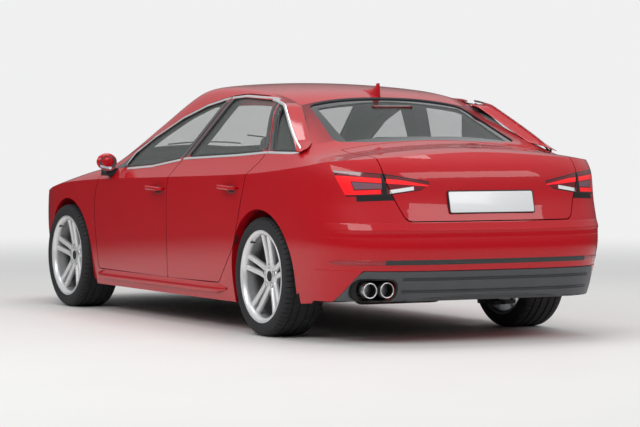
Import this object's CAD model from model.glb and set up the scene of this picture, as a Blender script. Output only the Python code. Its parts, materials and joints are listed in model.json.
import json
import math

import bmesh
import bpy
import numpy as np
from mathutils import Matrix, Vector

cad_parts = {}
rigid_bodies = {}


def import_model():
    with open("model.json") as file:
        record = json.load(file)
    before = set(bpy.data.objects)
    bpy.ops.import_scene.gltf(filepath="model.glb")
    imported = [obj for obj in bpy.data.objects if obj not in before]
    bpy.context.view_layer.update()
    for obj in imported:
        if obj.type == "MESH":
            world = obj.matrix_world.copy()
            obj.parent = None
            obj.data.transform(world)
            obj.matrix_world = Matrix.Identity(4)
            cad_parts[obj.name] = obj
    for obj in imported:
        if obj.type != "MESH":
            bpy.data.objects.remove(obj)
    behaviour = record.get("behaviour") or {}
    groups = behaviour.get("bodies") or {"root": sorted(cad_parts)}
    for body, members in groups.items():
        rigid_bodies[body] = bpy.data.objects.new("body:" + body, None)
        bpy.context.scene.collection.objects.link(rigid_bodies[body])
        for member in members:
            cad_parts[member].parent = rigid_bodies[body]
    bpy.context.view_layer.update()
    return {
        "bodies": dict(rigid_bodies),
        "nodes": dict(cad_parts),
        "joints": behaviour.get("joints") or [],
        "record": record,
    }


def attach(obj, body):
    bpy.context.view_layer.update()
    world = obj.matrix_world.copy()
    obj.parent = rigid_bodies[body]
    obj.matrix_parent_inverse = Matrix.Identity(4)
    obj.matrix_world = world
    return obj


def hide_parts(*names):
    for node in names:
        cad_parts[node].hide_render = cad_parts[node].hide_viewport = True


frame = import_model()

nodes = frame["nodes"]
print("frame loaded:", len(nodes), "nodes")

# Saloon car: X forward, Y to the left side, Z up, metres, origin on the ground under its middle.
car = {
    "rearAxle": -1.337,
    "frontAxle": 1.483,
    "wheelbase": 2.820,
    "height": 1.427,
    "axleHeight": 0.3305,
    "frontWheelY": 0.786,
    "rearWheelY": 0.7775,
}
sides = {"left": 1, "right": -1}


def fromHex(code):
    # sRGB hex to linear colour: c/12.92 below 0.04045, else ((c + 0.055)/1.055)^2.4
    parts = [int(code[i:i + 2], 16) / 255 for i in (1, 3, 5)]
    return [c / 12.92 if c <= 0.04045 else ((c + 0.055) / 1.055) ** 2.4 for c in parts] + [1.0]


def sidePlaces(shares):
    # shares (along the wheelbase, of the height) to places (x, z)
    table = np.asarray(shares, float)
    return np.stack([car["rearAxle"] + table[:, 0] * car["wheelbase"], table[:, 1] * car["height"]], 1)


def resampled(points, count, closed=False):
    # points at even steps of length along a polyline
    points = np.asarray(points, float)
    if closed:
        points = np.vstack([points, points[:1]])
    steps = np.linalg.norm(np.diff(points, axis=0), axis=1)
    length = np.concatenate([[0], np.cumsum(steps)])
    spots = np.linspace(0, length[-1], count + 1)[:-1] if closed else np.linspace(0, length[-1], count)
    return np.stack([np.interp(spots, length, points[:, i]) for i in range(points.shape[1])], 1)


def rounded(points, radius, closed=True, steps=6):
    # each corner becomes a quadratic curve that starts and ends one radius from it:
    # (1-t)^2 a + 2 t (1-t) corner + t^2 b
    points = np.asarray(points, float)
    before = np.roll(points, 1, axis=0)
    after = np.roll(points, -1, axis=0)
    reachBefore = np.linalg.norm(before - points, axis=1, keepdims=True)
    reachAfter = np.linalg.norm(after - points, axis=1, keepdims=True)
    size = np.broadcast_to(np.asarray(radius, float).reshape(-1, 1), (len(points), 1))
    a = points + (before - points) * np.minimum(size / reachBefore, 0.5)
    b = points + (after - points) * np.minimum(size / reachAfter, 0.5)
    t = np.linspace(0, 1, steps)[None, :, None]
    curve = (1 - t) ** 2 * a[:, None] + 2 * t * (1 - t) * points[:, None] + t ** 2 * b[:, None]
    if not closed:
        curve[0] = points[0]
        curve[-1] = points[-1]
    return curve.reshape(-1, points.shape[1])


def rectangle(low, high):
    return np.array([(low[0], low[1]), (high[0], low[1]), (high[0], high[1]), (low[0], high[1])])


def gridShape(points, wrapRows=False, wrapColumns=False, capRows=False):
    # a grid of points as (vertices, faces), one quad between neighbouring rows and columns;
    # capRows closes the first and last row with one face each
    rows, columns = points.shape[:2]
    r = np.arange(rows if wrapRows else rows - 1)
    c = np.arange(columns if wrapColumns else columns - 1)
    r, c = np.meshgrid(r, c, indexing="ij")
    right = (c + 1) % columns
    below = (r + 1) % rows
    quads = np.stack([r * columns + c, r * columns + right, below * columns + right, below * columns + c], -1)
    faces = quads.reshape(-1, 4).tolist()
    if capRows:
        faces.append(list(range(columns))[::-1])
        faces.append(list(range((rows - 1) * columns, rows * columns)))
    return points.reshape(-1, 3), faces


def joinedShapes(shapes):
    vertices = np.vstack([shape[0] for shape in shapes])
    faces = []
    start = 0
    for points, quads in shapes:
        faces += [[index + start for index in quad] for quad in quads]
        start += len(points)
    return vertices, faces


def newPiece(name, shape, materials, body, outward=True, smooth=True):
    # a mesh that rides on a body; outward turns its faces to the outside of each closed shell
    mesh = bpy.data.meshes.new(name)
    mesh.from_pydata(np.asarray(shape[0], float).tolist(), [], shape[1])
    mesh.update()
    piece = bpy.data.objects.new(name, mesh)
    bpy.context.scene.collection.objects.link(piece)
    if outward:
        turnOutward(mesh)
    mesh.shade_smooth() if smooth else mesh.shade_flat()
    for material in materials if isinstance(materials, list) else [materials]:
        mesh.materials.append(material)
    if smooth:
        mesh.set_sharp_from_angle(angle=math.radians(40))
    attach(piece, body)
    return piece


def facing(shape, direction):
    # an open sheet whose faces are turned so that their summed normals point along direction
    points = np.asarray(shape[0], float)
    quads = np.array([face[:3] for face in shape[1]])
    a, b, c = points[quads[:, 0]], points[quads[:, 1]], points[quads[:, 2]]
    if np.cross(b - a, c - a).sum(0) @ np.asarray(direction, float) < 0:
        return points, [face[::-1] for face in shape[1]]
    return points, shape[1]


def turnOutward(mesh):
    work = bmesh.new()
    work.from_mesh(mesh)
    bmesh.ops.remove_doubles(work, verts=work.verts, dist=1e-6)
    bmesh.ops.recalc_face_normals(work, faces=work.faces)
    work.to_mesh(mesh)
    work.free()


def sheetPiece(name, shape, direction, material, thickness=0.0, body="car_body"):
    # an open sheet that faces one way, with a wall of that thickness behind it
    piece = newPiece(name, facing(shape, direction), material, body, outward=False)
    if thickness:
        wall = piece.modifiers.new("wall", "SOLIDIFY")
        wall.thickness = thickness
        wall.offset = -1
    return piece


def surfaceAt(names, places, axis, sign):
    # how far the named nodes reach along one axis over each place of the plane across it:
    # a triangle covers a place where its three edge areas have one sign, and its reach there is
    # the mean of its corners' reaches weighted by those areas
    flat = [i for i in range(3) if i != axis]
    corners = []
    for name in names:
        mesh = nodes[name].data
        points = np.empty(len(mesh.vertices) * 3)
        mesh.vertices.foreach_get("co", points)
        mesh.calc_loop_triangles()
        indices = np.empty(len(mesh.loop_triangles) * 3, int)
        mesh.loop_triangles.foreach_get("vertices", indices)
        corners.append(points.reshape(-1, 3)[indices.reshape(-1, 3)])
    corners = np.vstack(corners)
    low = places.min(0)
    high = places.max(0)
    plane = corners[:, :, flat]
    near = ((plane.max(1) >= low) & (plane.min(1) <= high)).all(1)
    corners = corners[near]
    plane = plane[near]
    reach = corners[:, :, axis] * sign
    a, b, c = plane[:, 0], plane[:, 1], plane[:, 2]
    area = (b[:, 0] - a[:, 0]) * (c[:, 1] - a[:, 1]) - (b[:, 1] - a[:, 1]) * (c[:, 0] - a[:, 0])
    solid = np.abs(area) > 1e-12
    a, b, c, area, reach = a[solid], b[solid], c[solid], area[solid], reach[solid]
    found = []
    for group in np.array_split(places, max(1, len(places) // 150)):
        p = group[:, None, :]
        one = (
            (b[:, 0] - p[..., 0]) * (c[:, 1] - p[..., 1]) - (b[:, 1] - p[..., 1]) * (c[:, 0] - p[..., 0])
        ) / area
        two = (
            (c[:, 0] - p[..., 0]) * (a[:, 1] - p[..., 1]) - (c[:, 1] - p[..., 1]) * (a[:, 0] - p[..., 0])
        ) / area
        three = 1 - one - two
        inside = (one >= -1e-5) & (two >= -1e-5) & (three >= -1e-5)
        value = one * reach[:, 0] + two * reach[:, 1] + three * reach[:, 2]
        found.append(np.where(inside, value, -1e3).max(1))
    return np.concatenate(found) * sign


def sideways(path, closed=True):
    # unit directions across a flat path, to the left of the way it runs
    along = np.roll(path, -1, axis=0) - np.roll(path, 1, axis=0) if closed else np.gradient(path, axis=0)
    along /= np.linalg.norm(along, axis=1, keepdims=True)
    return np.stack([-along[:, 1], along[:, 0]], 1)


def lathe(centre, profile, count, axis=1, sign=1.0):
    # a profile of (offset along the axis, radius) turned once round: radius*cos and radius*sin of the turn
    turn = np.linspace(0, 2 * np.pi, count, endpoint=False)[:, None]
    profile = np.asarray(profile, float)
    offset = np.broadcast_to(profile[:, 0] * sign, (count, len(profile)))
    radius = profile[:, 1]
    points = np.empty((count, len(profile), 3))
    first, second = [i for i in range(3) if i != axis]
    points[..., axis] = centre[axis] + offset
    points[..., first] = centre[first] + radius * np.cos(turn)
    points[..., second] = centre[second] + radius * np.sin(turn)
    return gridShape(points, wrapRows=True)


def tube(path, radius, count=8):
    # circles carried along a path: centre + radius*(first*cos t + second*sin t)
    path = np.asarray(path, float)
    along = np.gradient(path, axis=0)
    along /= np.linalg.norm(along, axis=1, keepdims=True)
    upward = np.array([0.0, 0.0, 1.0]) if abs(along[:, 2]).max() < 0.9 else np.array([0.0, 1.0, 0.0])
    first = np.cross(along, upward)
    first /= np.linalg.norm(first, axis=1, keepdims=True)
    second = np.cross(first, along)
    turn = np.linspace(0, 2 * np.pi, count, endpoint=False)[None, :, None]
    points = path[:, None] + radius * (np.cos(turn) * first[:, None] + np.sin(turn) * second[:, None])
    return gridShape(points, wrapColumns=True, capRows=True)


def roundedBox(low, high, radius=0.004, steps=3):
    # a box with rounded upright edges, drawn in at its top and bottom by the same radius
    low = np.asarray(low, float)
    high = np.asarray(high, float)
    outline = rounded(rectangle(low, high), 2 * radius, steps=4)
    middle = (low[:2] + high[:2]) / 2
    half = (high[:2] - low[:2]) / 2
    inset = radius * (1 - np.sin(np.linspace(0, np.pi / 2, steps)))
    levels = np.sort(np.concatenate([low[2] + inset, high[2] - inset]))
    ratio = 1 - np.concatenate([inset, inset[::-1]])[:, None] / half[None, :]
    points = np.empty((len(levels), len(outline), 3))
    points[..., :2] = middle + (outline[None] - middle) * ratio[:, None, :]
    points[..., 2] = levels[:, None]
    return gridShape(points, wrapColumns=True, capRows=True)


print("shared tools ready")


# Materials. One function adds a node with its settings and links.
def addNode(tree, kind, settings=None, inputs=None):
    # inputs holds plain values, or output sockets to link
    node = tree.nodes.new(kind)
    for name, value in (settings or {}).items():
        setattr(node, name, value)
    for name, value in (inputs or {}).items():
        if isinstance(value, bpy.types.NodeSocket):
            tree.links.new(value, node.inputs[name])
        else:
            node.inputs[name].default_value = value
    return node


def newMaterial(name, values):
    # an empty material with its shader's plain values set
    material = bpy.data.materials.new(name)
    material.use_nodes = True
    tree = material.node_tree
    shader = tree.nodes["Principled BSDF"]
    for key, value in values.items():
        shader.inputs[key].default_value = value
    return material, tree, shader


def spotOn(tree, output="Object"):
    return addNode(tree, "ShaderNodeTexCoord").outputs[output]


def partsOf(tree, vector):
    return addNode(tree, "ShaderNodeSeparateXYZ", None, {"Vector": vector}).outputs


def maths(tree, operation, first, second=0.0):
    return addNode(tree, "ShaderNodeMath", {"operation": operation}, {0: first, 1: second}).outputs[0]


def ramp(tree, value, start, end, run="SMOOTHSTEP"):
    # 0 on the side of start, 1 on the side of end
    return addNode(tree, "ShaderNodeMapRange", {"interpolation_type": run}, {
        "Value": value, "From Min": start, "From Max": end,
    }).outputs[0]


def placeIn(tree):
    # the point on the piece, with the left and right sides folded together: (x, |y|, z)
    parts = partsOf(tree, spotOn(tree))
    return addNode(tree, "ShaderNodeCombineXYZ", None, {
        "X": parts["X"], "Y": maths(tree, "ABSOLUTE", parts["Y"]), "Z": parts["Z"],
    }).outputs[0]


def beyond(tree, place, direction, offset, soft=0.0015):
    # 1 where direction . place is more than offset, 0 below it, with a soft edge
    reach = addNode(tree, "ShaderNodeVectorMath", {"operation": "DOT_PRODUCT"}, {0: place, 1: direction})
    return ramp(tree, reach.outputs["Value"], offset - soft, offset + soft)


def both(tree, first, *masks):
    # 1 only where every mask is 1
    for mask in masks:
        first = maths(tree, "MINIMUM", first, mask)
    return first


def either(tree, first, *masks):
    # 1 where one of the masks is 1
    for mask in masks:
        first = maths(tree, "MAXIMUM", first, mask)
    return first


def painted(tree, under, over, mask):
    # one colour, or colour socket, over another where the mask is 1
    mix = addNode(tree, "ShaderNodeMix", {"data_type": "RGBA"})
    for index, value in ((6, under), (7, over)):
        if isinstance(value, bpy.types.NodeSocket):
            tree.links.new(value, mix.inputs[index])
        else:
            mix.inputs[index].default_value = fromHex(value)
    tree.links.new(mask, mix.inputs[0])
    return mix.outputs[2]


def coloured(tree, shader, under, over, mask):
    tree.links.new(painted(tree, under, over, mask), shader.inputs["Base Color"])


def blended(tree, shader, name, under, over, mask):
    # one plain value of the shader over another where the mask is 1
    value = addNode(tree, "ShaderNodeMapRange", None, {"Value": mask, "To Min": under, "To Max": over})
    tree.links.new(value.outputs[0], shader.inputs[name])


def speckled(tree, spot, size, detail=2.0):
    # soft random pattern whose blotches measure about size metres
    return addNode(tree, "ShaderNodeTexNoise", None, {
        "Vector": spot, "Scale": 1 / size, "Detail": detail,
    }).outputs["Fac"]


def raised(tree, shader, height, strength, distance, socket="Normal"):
    # a height pattern as bump: distance is its depth in metres
    bump = addNode(tree, "ShaderNodeBump", None, {
        "Height": height, "Strength": strength, "Distance": distance,
    })
    tree.links.new(bump.outputs["Normal"], shader.inputs[socket])


def grained(name, values, shades, patch, grain=None, rough=None, bump=None, place=spotOn):
    # two shades blended in patches, with roughness and bump that follow a grain;
    # patch and grain are (size in metres, detail), bump is (strength, depth in metres)
    material, tree, shader = newMaterial(name, values)
    spot = place(tree)
    patches = speckled(tree, spot, *patch)
    grains = speckled(tree, spot, *grain) if grain else patches
    coloured(tree, shader, *shades, patches)
    if rough:
        blended(tree, shader, "Roughness", *rough, grains)
    if bump:
        raised(tree, shader, grains, *bump)
    return material


def bodyPaint():
    # basecoat and clearcoat sprayed on pressed steel: deep red under a wet gloss, with a faint
    # orange peel (waves of 6 mm) that only shows as soft edges in reflections;
    # the flake is 0.1 mm on a real car and is drawn at 1.5 mm so that it shows at all
    material, tree, shader = newMaterial("clearcoatedRedPaint", {
        "Roughness": 0.5, "Metallic": 0.0, "Specular IOR Level": 0.15, "Coat Weight": 1.0,
        "Coat Roughness": 0.02, "Coat IOR": 1.38,
    })
    spot = spotOn(tree)
    deep = addNode(tree, "ShaderNodeValToRGB", None, {"Fac": speckled(tree, spot, 0.0015, 0)})
    for element, position, shade in zip(deep.color_ramp.elements, (0.3, 0.75), ("deep", "bright")):
        element.position = position
        element.color = fromHex(paintLook[shade])
    tree.links.new(deep.outputs["Color"], shader.inputs["Base Color"])
    raised(tree, shader, speckled(tree, spot, 0.006, 1), 0.04, 0.0004, "Coat Normal")
    return material, tree, shader, deep.outputs["Color"]


def trimmedPaint(name, masks):
    # body paint outside, and what masks(tree, place) says is covered by moulded trim inside
    material, tree, shader, red = bodyPaint()
    material.name = name
    place = placeIn(tree)
    mask = masks(tree, place)
    trim = painted(tree, paintLook["trim"], paintLook["trimLight"], speckled(tree, place, 0.0016, 1))
    coloured(tree, shader, red, trim, mask)
    blended(tree, shader, "Roughness", 0.5, 0.75, mask)
    blended(tree, shader, "Coat Weight", 1.0, 0.0, mask)
    return material


def doorTrim(tree, place):
    # what faces the cabin, and the reveals that lie 22 mm or more inside the leaning skin
    way = maths(tree, "SIGN", partsOf(tree, spotOn(tree))["Y"])
    outward = maths(tree, "MULTIPLY", partsOf(tree, spotOn(tree, "Normal"))["Y"], way)
    inward = ramp(tree, outward, -0.15, -0.25, "LINEAR")
    edgeOn = ramp(tree, outward, 0.20, 0.10, "LINEAR")
    leaning = beyond(tree, place, (0, -1, -0.571), -(0.843 - 0.022 + 0.571 * 1.008))
    high = beyond(tree, place, (0, 0, 1), 0.95)
    ahead = beyond(tree, place, (1, 0, 0), -1.60)
    return either(tree, both(tree, inward, ahead), both(tree, edgeOn, leaning, high, ahead))


def roofTrim(tree, place):
    # the underside of the roof is covered by its lining
    return beyond(tree, spotOn(tree, "Normal"), (0, 0, -1), 0.2, 0.1)


def mirrorFoot(tree, place):
    # the foot and the lower rim of an outside mirror are black moulded ABS
    return beyond(tree, place, (0, 0, -1), -0.9065)


def nosePanel(tree, place):
    # the rim of the grille opening and the lowest lip of the front bumper are unpainted
    return beyond(tree, place, (0, 0, -1), -0.205)


def mouldedPlastic(name, dark, light, rough, grainSize=0.0015, depth=0.0002):
    # injection moulded ABS or PP with a spark-eroded grain (0.5 mm, drawn at 1.5 mm):
    # the grain breaks the shine up so the surface looks soft and even
    return grained(
        name, {"IOR": 1.48}, (dark, light), (0.12, 3), (grainSize, 2), (rough - 0.06, rough + 0.1),
        (0.3, depth),
    )


def turnedIron(name, dark, light, rough):
    # grey cast iron turned on a lathe: rings from the tool 0.4 mm apart (drawn at 2 mm)
    return grained(
        name, {"Metallic": 0.9}, (dark, light), (0.03, 3), (0.002, 2), (rough - 0.08, rough + 0.12),
        (0.25, 0.0003), placeIn,
    )


def sideGlass(name, tint):
    # toughened soda-lime glass, float made, lightly tinted: its alpha lets what lies behind show and
    # its coat keeps a clean reflection; a faint waviness of 150 mm comes from the toughening rollers
    material, tree, shader = newMaterial(name, {
        "Base Color": fromHex(tint), "Roughness": 0.0, "IOR": 1.5, "Alpha": glassLook["veil"],
        "Coat Weight": 1.0, "Coat Roughness": 0.0, "Coat IOR": 1.7,
    })
    raised(tree, shader, speckled(tree, spotOn(tree), 0.15, 0), 0.05, 0.0005, "Coat Normal")
    return material


def edgedGlass(name, tint, edges, heated=False):
    # a pane with fired black enamel beyond each edge (direction, offset), as seen from above;
    # heated adds the printed heater lines 0.5 mm wide (drawn 2 mm) every 28 mm down the glass
    material, tree, shader = newMaterial(name, {
        "Roughness": 0.0, "IOR": 1.5, "Coat Weight": 1.0, "Coat Roughness": 0.0, "Coat IOR": 1.52,
    })
    place = placeIn(tree)
    opaque = either(tree, *[beyond(tree, place, direction, offset, 0.004) for direction, offset in edges])
    if heated:
        rows = maths(tree, "PINGPONG", partsOf(tree, place)["X"], 0.014)
        line = maths(tree, "LESS_THAN", rows, 0.0009)
        opaque = either(tree, opaque, maths(tree, "MULTIPLY", line, 0.55))
    coloured(tree, shader, tint, "#0B0B0C", opaque)
    blended(tree, shader, "Alpha", glassLook["veil"], 1.0, opaque)
    return material


def brightTrim():
    # anodised aluminium strip, rolled and brushed along its length, then sealed: pale and even
    material, tree, shader = newMaterial("anodisedAluminiumStrip", {"Metallic": 0.85})
    brushed = addNode(tree, "ShaderNodeMapping", None, {
        "Vector": spotOn(tree), "Scale": (4, 600, 600),
    }).outputs[0]
    streak = speckled(tree, brushed, 1.0)
    coloured(tree, shader, "#E4E5E6", "#F6F6F6", streak)
    blended(tree, shader, "Roughness", 0.26, 0.40, streak)
    raised(tree, shader, streak, 0.1, 0.0001)
    return material


def castAlloy():
    # gravity-cast aluminium, machined and lacquered in silver: bright satin with a soft grain,
    # darker deep inside the barrel where brake dust settles
    material, tree, shader = newMaterial("lacqueredCastAlloy", {
        "Metallic": 0.45, "Coat Weight": 0.6, "Coat Roughness": 0.08,
    })
    place = placeIn(tree)
    grain = speckled(tree, place, 0.002, 2)
    silver = painted(tree, "#DADBDC", "#ECECED", speckled(tree, place, 0.04, 3))
    coloured(tree, shader, silver, "#6E6F72", ramp(tree, partsOf(tree, place)["Y"], 0.845, 0.790))
    blended(tree, shader, "Roughness", 0.24, 0.36, grain)
    raised(tree, shader, grain, 0.08, 0.0001)
    return material


def tailLampLens():
    # moulded PMMA over a lit red light guide shaped like a lying C, in a black frame
    material, tree, shader = newMaterial("mouldedTailLampLens", {
        "Roughness": 0.12, "IOR": 1.49, "Coat Weight": 1.0, "Coat Roughness": 0.01,
        "Emission Strength": 0.35,
    })
    place = placeIn(tree)
    # edges of the lamp as z = level + slope*(|y| - start), given as (slope, start, level)
    topInner, topOuter = (0.1767, 0.336, 0.862), (0.082, 0.594, 0.9076)
    lowInner, lowOuter = (-0.1411, 0.414, 0.8205), (-0.0406, 0.594, 0.795)
    ledgeUnder = (0.075, 0.594, 0.9076)
    flank = 0.575 * 0.970

    def under(edge, margin):
        slope, start, level = edge
        return beyond(tree, place, (0, slope, -1), slope * start - level + margin, 0.001)

    def over(edge, margin):
        slope, start, level = edge
        return beyond(tree, place, (0, -slope, 1), -slope * start + level + margin, 0.001)

    def behind(margin):
        return beyond(tree, place, (-1, -1, 0.575), 2.009 - 0.905 + flank + margin, 0.003)

    def outside(y, soft=0.001):
        return beyond(tree, place, (0, 1, 0), y, soft)

    def within(y, soft=0.001):
        return beyond(tree, place, (0, -1, 0), -y, soft)

    lens = both(
        tree, under(topInner, 0.006), under(topOuter, 0.006), over(lowInner, 0.005), over(lowOuter, 0.005),
        beyond(tree, place, (-1, 0, 0.575), 2.009 + flank + 0.010, 0.002),
    )
    barTop = both(tree, under(topInner, 0.020), under(topOuter, 0.026), over(ledgeUnder, -0.050))
    barLow = both(tree, over(lowOuter, 0.009), under(lowOuter, -0.031), outside(0.625))
    barSide = both(
        tree, behind(0.085), beyond(tree, place, (1, 1, -0.575), -(2.009 - 0.905 + flank + 0.205), 0.003),
        under(topOuter, 0.026), over(lowOuter, 0.009),
    )
    glow = either(tree, both(tree, barTop, behind(0.085)), both(tree, barLow, behind(0.085)), barSide)
    band = both(tree, over(lowOuter, 0.037), under(topOuter, 0.055), behind(0.212), outside(0.600, 0.002))
    gap = both(tree, outside(0.594, 0.0015), within(0.618, 0.0015))
    reverse = both(tree, over(lowInner, 0.007), under(lowInner, -0.026), within(0.580), outside(0.452))
    # fine prisms inside the lens break the red up
    prism = addNode(tree, "ShaderNodeTexWave", {"bands_direction": "DIAGONAL"}, {
        "Vector": place, "Scale": 40.0, "Distortion": 0.0,
    }).outputs["Fac"]
    shade = painted(tree, "#08080A", painted(tree, "#5A0712", "#7D0B18", prism), lens)
    for colour, mask in (("#7A5563", band), (lampLook["bar"], glow), ("#09090B", gap), ("#E9EBEC", reverse)):
        shade = painted(tree, shade, colour, mask)
    tree.links.new(shade, shader.inputs["Base Color"])
    lit = painted(tree, "#000000", lampLook["bar"], both(tree, glow, beyond(tree, gap, (-1, 0, 0), -0.5)))
    tree.links.new(lit, shader.inputs["Emission Color"])
    raised(tree, shader, prism, 0.1, 0.0004)
    return material


def headLampLens():
    # clear polycarbonate cover over a dark housing with bright reflectors and a light strip
    material, tree, shader = newMaterial("clearHeadLampCover", {
        "Roughness": 0.18, "IOR": 1.58, "Coat Weight": 1.0, "Coat Roughness": 0.0,
    })
    place = placeIn(tree)
    parts = partsOf(tree, place)
    flat = addNode(tree, "ShaderNodeCombineXYZ", None, {"Y": parts["Y"], "Z": parts["Z"]}).outputs[0]
    shade = painted(tree, "#15161A", "#2A2C31", speckled(tree, place, 0.03, 2))
    radius = 0.030
    for centre in ((0, 0.60, 0.712), (0, 0.70, 0.716)):
        away = addNode(tree, "ShaderNodeVectorMath", {"operation": "DISTANCE"}, {0: flat, 1: centre})
        for size, colour in ((radius, "#C9CCD2"), (radius * 0.78, "#30333A"), (radius * 0.5, "#9FA6B2")):
            shade = painted(tree, shade, colour, maths(tree, "LESS_THAN", away.outputs["Value"], size))
    strip = both(
        tree, beyond(tree, place, (0, -0.13, 1), 0.668 - 0.13 * 0.60, 0.001),
        beyond(tree, place, (0, 0.13, -1), -(0.678 - 0.13 * 0.60), 0.001),
    )
    coloured(tree, shader, shade, "#F2F4F7", strip)
    return material


def stripMesh():
    # moulded black honeycomb between two red reflectors with 6 mm corner-cube cells;
    # the openings of the mesh are 8 mm across
    material, tree, shader = newMaterial("mouldedRearMesh", {"Roughness": 0.5, "Coat Weight": 0.4})
    place = placeIn(tree)
    mesh = addNode(tree, "ShaderNodeTexVoronoi", {"feature": "DISTANCE_TO_EDGE"}, {
        "Vector": place, "Scale": 1 / 0.008, "Randomness": 0.0,
    }).outputs["Distance"]
    web = ramp(tree, mesh, 0.08, 0.22, "LINEAR")
    cells = addNode(tree, "ShaderNodeTexVoronoi", None, {
        "Vector": place, "Scale": 1 / 0.006, "Randomness": 0.0,
    })
    reflector = beyond(tree, place, (0, 1, 0), 0.622, 0.001)
    black = painted(tree, "#26282A", "#050506", web)
    coloured(tree, shader, black, painted(tree, "#7C0712", "#B01222", cells.outputs["Distance"]), reflector)
    blended(tree, shader, "Roughness", 0.55, 0.15, reflector)
    raised(tree, shader, web, 0.6, -0.002)
    return material


def wovenFabric(name, dark, light):
    # plain-woven polyester, threads 1.2 mm apart (drawn at 5 mm), with soft piping shades
    material, tree, shader = newMaterial(name, {
        "Roughness": 0.9, "Sheen Weight": 0.3, "Sheen Roughness": 0.4,
    })
    spot = spotOn(tree)
    weave = addNode(tree, "ShaderNodeTexChecker", None, {"Vector": spot, "Scale": 1 / 0.0025}).outputs["Fac"]
    thread = speckled(tree, spot, 0.004, 3.0)
    coloured(tree, shader, dark, light, thread)
    raised(tree, shader, maths(tree, "ADD", weave, thread), 0.4, 0.0008)
    return material


def floorFinish():
    # underside: sprayed bitumen underseal; inside: needle-felt carpet
    material, tree, shader = newMaterial("undersealAndCarpet", {"Roughness": 0.9})
    place = placeIn(tree)
    tuft = speckled(tree, place, 0.004, 3)
    upward = beyond(tree, spotOn(tree, "Normal"), (0, 0, 1), 0.3, 0.1)
    inside = both(tree, upward, beyond(tree, place, (0, 0, 1), 0.17))
    seal = painted(tree, "#121214", "#1E1F21", tuft)
    coloured(tree, shader, seal, painted(tree, "#1A1A1C", "#2B2B2E", tuft), inside)
    raised(tree, shader, tuft, 0.5, 0.002)
    return material


def polishedPipe():
    # stainless steel tube, polished and chromed at the mouth, straw tinted by heat further in
    material, tree, shader = newMaterial("polishedStainlessPipe", {"Metallic": 1.0})
    place = placeIn(tree)
    grain = speckled(tree, place, 0.003, 2)
    near = beyond(tree, place, (-1, 0, 0), 2.12, 0.02)
    coloured(tree, shader, painted(tree, "#5E5A54", "#8A857C", grain), "#D5D6D8", near)
    blended(tree, shader, "Roughness", 0.22, 0.38, grain)
    raised(tree, shader, grain, 0.1, 0.0002)
    return material


def finnedCore():
    # radiator: rolled aluminium fins 2 mm apart (drawn at 6 mm) between flat tubes
    material, tree, shader = newMaterial("rolledRadiatorFins", {"Metallic": 0.8, "Roughness": 0.5})
    fins = addNode(tree, "ShaderNodeTexWave", {"bands_direction": "Y"}, {
        "Vector": spotOn(tree), "Scale": 55.0, "Distortion": 0.3,
    }).outputs["Fac"]
    coloured(tree, shader, "#1B1C1E", "#55575A", fins)
    raised(tree, shader, fins, 0.5, 0.003)
    return material


paintLook = {"deep": "#AC0212", "bright": "#BE0418", "trim": "#2A2A2D", "trimLight": "#3A3A3E"}
glassLook = {"side": "#6E7873", "rear": "#59625E", "screen": "#7A847F", "veil": 0.22}
lampLook = {"bar": "#F5101A"}

paint = bodyPaint()[0]
doorPaint = trimmedPaint("paintedDoorWithTrim", doorTrim)
roofPaint = trimmedPaint("paintedRoofWithLining", roofTrim)
mirrorPaint = trimmedPaint("paintedMirrorOnBlackFoot", mirrorFoot)
nosePaint = trimmedPaint("paintedBumperOverBlackLip", nosePanel)
sideGlazing = sideGlass("toughenedSideGlass", glassLook["side"])
# the rear window is toughened glass with heater lines, the windscreen is laminated
rearGlazing = edgedGlass("heatedRearGlass", glassLook["rear"], (
    ((1, 0.09, 0), -1.137), ((-1, 0.06, 0), 1.655), ((0.118, 1, 0), 0.452 - 0.118 * 1.10),
), heated=True)
screenGlazing = edgedGlass("laminatedWindscreen", glassLook["screen"], (
    ((1, 0.22, 0), 0.890), ((-1, -0.10, 0), -0.285), ((-0.235, 1, 0), 0.665 - 0.235 * 0.76),
))
strip = brightTrim()
# extruded EPDM rubber: deep black, slightly waxy, with a fine drawn grain
rubber = grained("extrudedRubberSeal", {"IOR": 1.5}, ("#0A0A0B", "#161617"), (0.002, 2), rough=(0.45, 0.65))
# moulded acrylic panel in piano black, with the faint moulding waves such a panel has
pianoBlack = grained("glossBlackAcrylic", {
    "Roughness": 0.12, "IOR": 1.49, "Coat Weight": 0.6, "Coat Roughness": 0.02,
}, ("#0A0A0C", "#131316"), (0.05, 1), bump=(0.05, 0.0003))
alloy = castAlloy()
# vulcanised carbon-black rubber: dull dark grey, dusty grey in places, fine mould lines
tyreSurface = grained("vulcanisedTyreRubber", {"IOR": 1.5}, (
    "#17181A", "#26272A",
), (0.07, 4), (0.002, 3), (0.66, 0.86), (0.3, 0.0003))
discIron = turnedIron("turnedGreyIron", "#5C5D60", "#8B8C8F", 0.38)
engineIron = turnedIron("castEngineAlloy", "#4C4D50", "#7A7B7E", 0.6)
darkSteel = mouldedPlastic("coatedChassisSteel", "#151618", "#242528", 0.5, 0.003, 0.0004)
blackPlastic = mouldedPlastic("mouldedBlackPlastic", "#0D0D0F", "#191A1C", 0.6)
greyPlastic = mouldedPlastic("mouldedGreyDiffuser", "#3E4043", "#4E5053", 0.42)
dashPlastic = mouldedPlastic("softDashSkin", "#1A1A1D", "#28282C", 0.7, 0.0025, 0.0005)
tailLens = tailLampLens()
headLens = headLampLens()
rearMesh = stripMesh()
fabric = wovenFabric("wovenSeatFabric", "#3A3A3E", "#58585C")
underside = floorFinish()
pipeSteel = polishedPipe()
# pressed aluminium plate with retroreflective film, left blank
plateFilm = grained("reflectivePlateFilm", {
    "Roughness": 0.35, "Coat Weight": 0.5, "Coat Roughness": 0.1,
}, ("#D3D5D6", "#E6E7E8"), (0.002, 1), bump=(0.1, 0.0001))
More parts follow.
